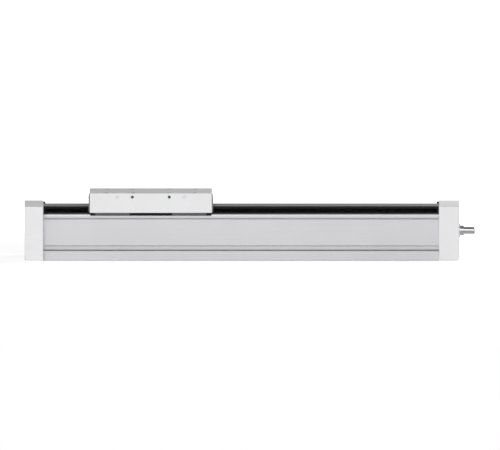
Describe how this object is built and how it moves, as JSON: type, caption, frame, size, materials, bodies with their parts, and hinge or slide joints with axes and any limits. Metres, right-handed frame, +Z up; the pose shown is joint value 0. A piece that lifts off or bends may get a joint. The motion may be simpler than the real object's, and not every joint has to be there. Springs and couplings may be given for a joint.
{
  "type": "ball screw linear module",
  "caption": "Linear module: a flat carriage rides on guide rails inside an aluminium profile, driven by a ball screw whose shaft leaves one end block.",
  "frame": {"origin": "middle of the underside of the frame profile", "axes": "+X along the travel towards the drive shaft, +Y to the rear, +Z up"},
  "size_m": [0.5085, 0.136, 0.0765],
  "materials": {
    "anodised_profile": "natural anodised extrusion",
    "blasted_aluminium": "machined, blasted and anodised",
    "black_seal": "matte black polyurethane",
    "grey_pad": "dark grey moulded plastic",
    "ground_steel": "ground and hardened",
    "block_steel": "ground bearing steel",
    "black_screw": "black oxide steel",
    "cap_plastic": "moulded black plastic"
  },
  "bodies": {
    "base": {"frame_profile": "anodised_profile", "cover_plate": "anodised_profile", "drive_end_block": "blasted_aluminium", "idle_end_block": "blasted_aluminium", "bearing_cover": "blasted_aluminium", "idle_end_cap": "blasted_aluminium", "sealing_strip_front": "black_seal", "sealing_strip_rear": "black_seal", "lip_seal_front": "black_seal", "lip_seal_rear": "black_seal", "stop_buffers": "black_seal", "guide_rail_front": "ground_steel", "guide_rail_rear": "ground_steel", "fixed_bearing_outer_ring": "ground_steel", "float_bearing_outer_ring": "ground_steel", "rail_screws": "black_screw", "drive_block_screws": "black_screw", "idle_block_screws": "black_screw", "bearing_cover_screws": "black_screw", "rail_hole_caps": "cap_plastic"},
    "screw": {"ball_screw": "ground_steel", "lock_nut": "block_steel", "retaining_ring": "block_steel", "fixed_bearing_inner_ring": "ground_steel", "float_bearing_inner_ring": "ground_steel", "bearing_balls": "ground_steel"},
    "carriage": {"carriage_body": "blasted_aluminium", "runner_block_front_idle": "block_steel", "runner_block_front_drive": "block_steel", "runner_block_rear_idle": "block_steel", "runner_block_rear_drive": "block_steel", "runner_end_caps": "cap_plastic", "runner_block_screws": "black_screw", "access_hole_plugs": "blasted_aluminium", "ball_nut": "block_steel", "nut_wipers": "black_seal", "nut_bracket": "blasted_aluminium", "nut_screws": "black_screw", "nut_bracket_screws": "black_screw", "side_seal_front": "black_seal", "side_seal_rear": "black_seal", "side_seal_pads": "grey_pad", "end_wiper_idle": "grey_pad", "end_wiper_drive": "grey_pad", "wiper_screws": "black_screw", "lube_port_plugs": "blasted_aluminium"}
  },
  "joints": [
    {"name": "carriage_slide", "type": "slide", "parent": "base", "child": "carriage", "axis": [1, 0, 0], "range_m": [-0.048, 0.252]},
    {"name": "screw_spin", "type": "hinge", "parent": "base", "child": "screw", "pos_m": [0, 0, 0.0317], "axis": [1, 0, 0], "continuous": true}
  ],
  "couplings": [
    {"joint": "screw_spin", "follows": "carriage_slide", "rad_per_m": -628.32}
  ]
}
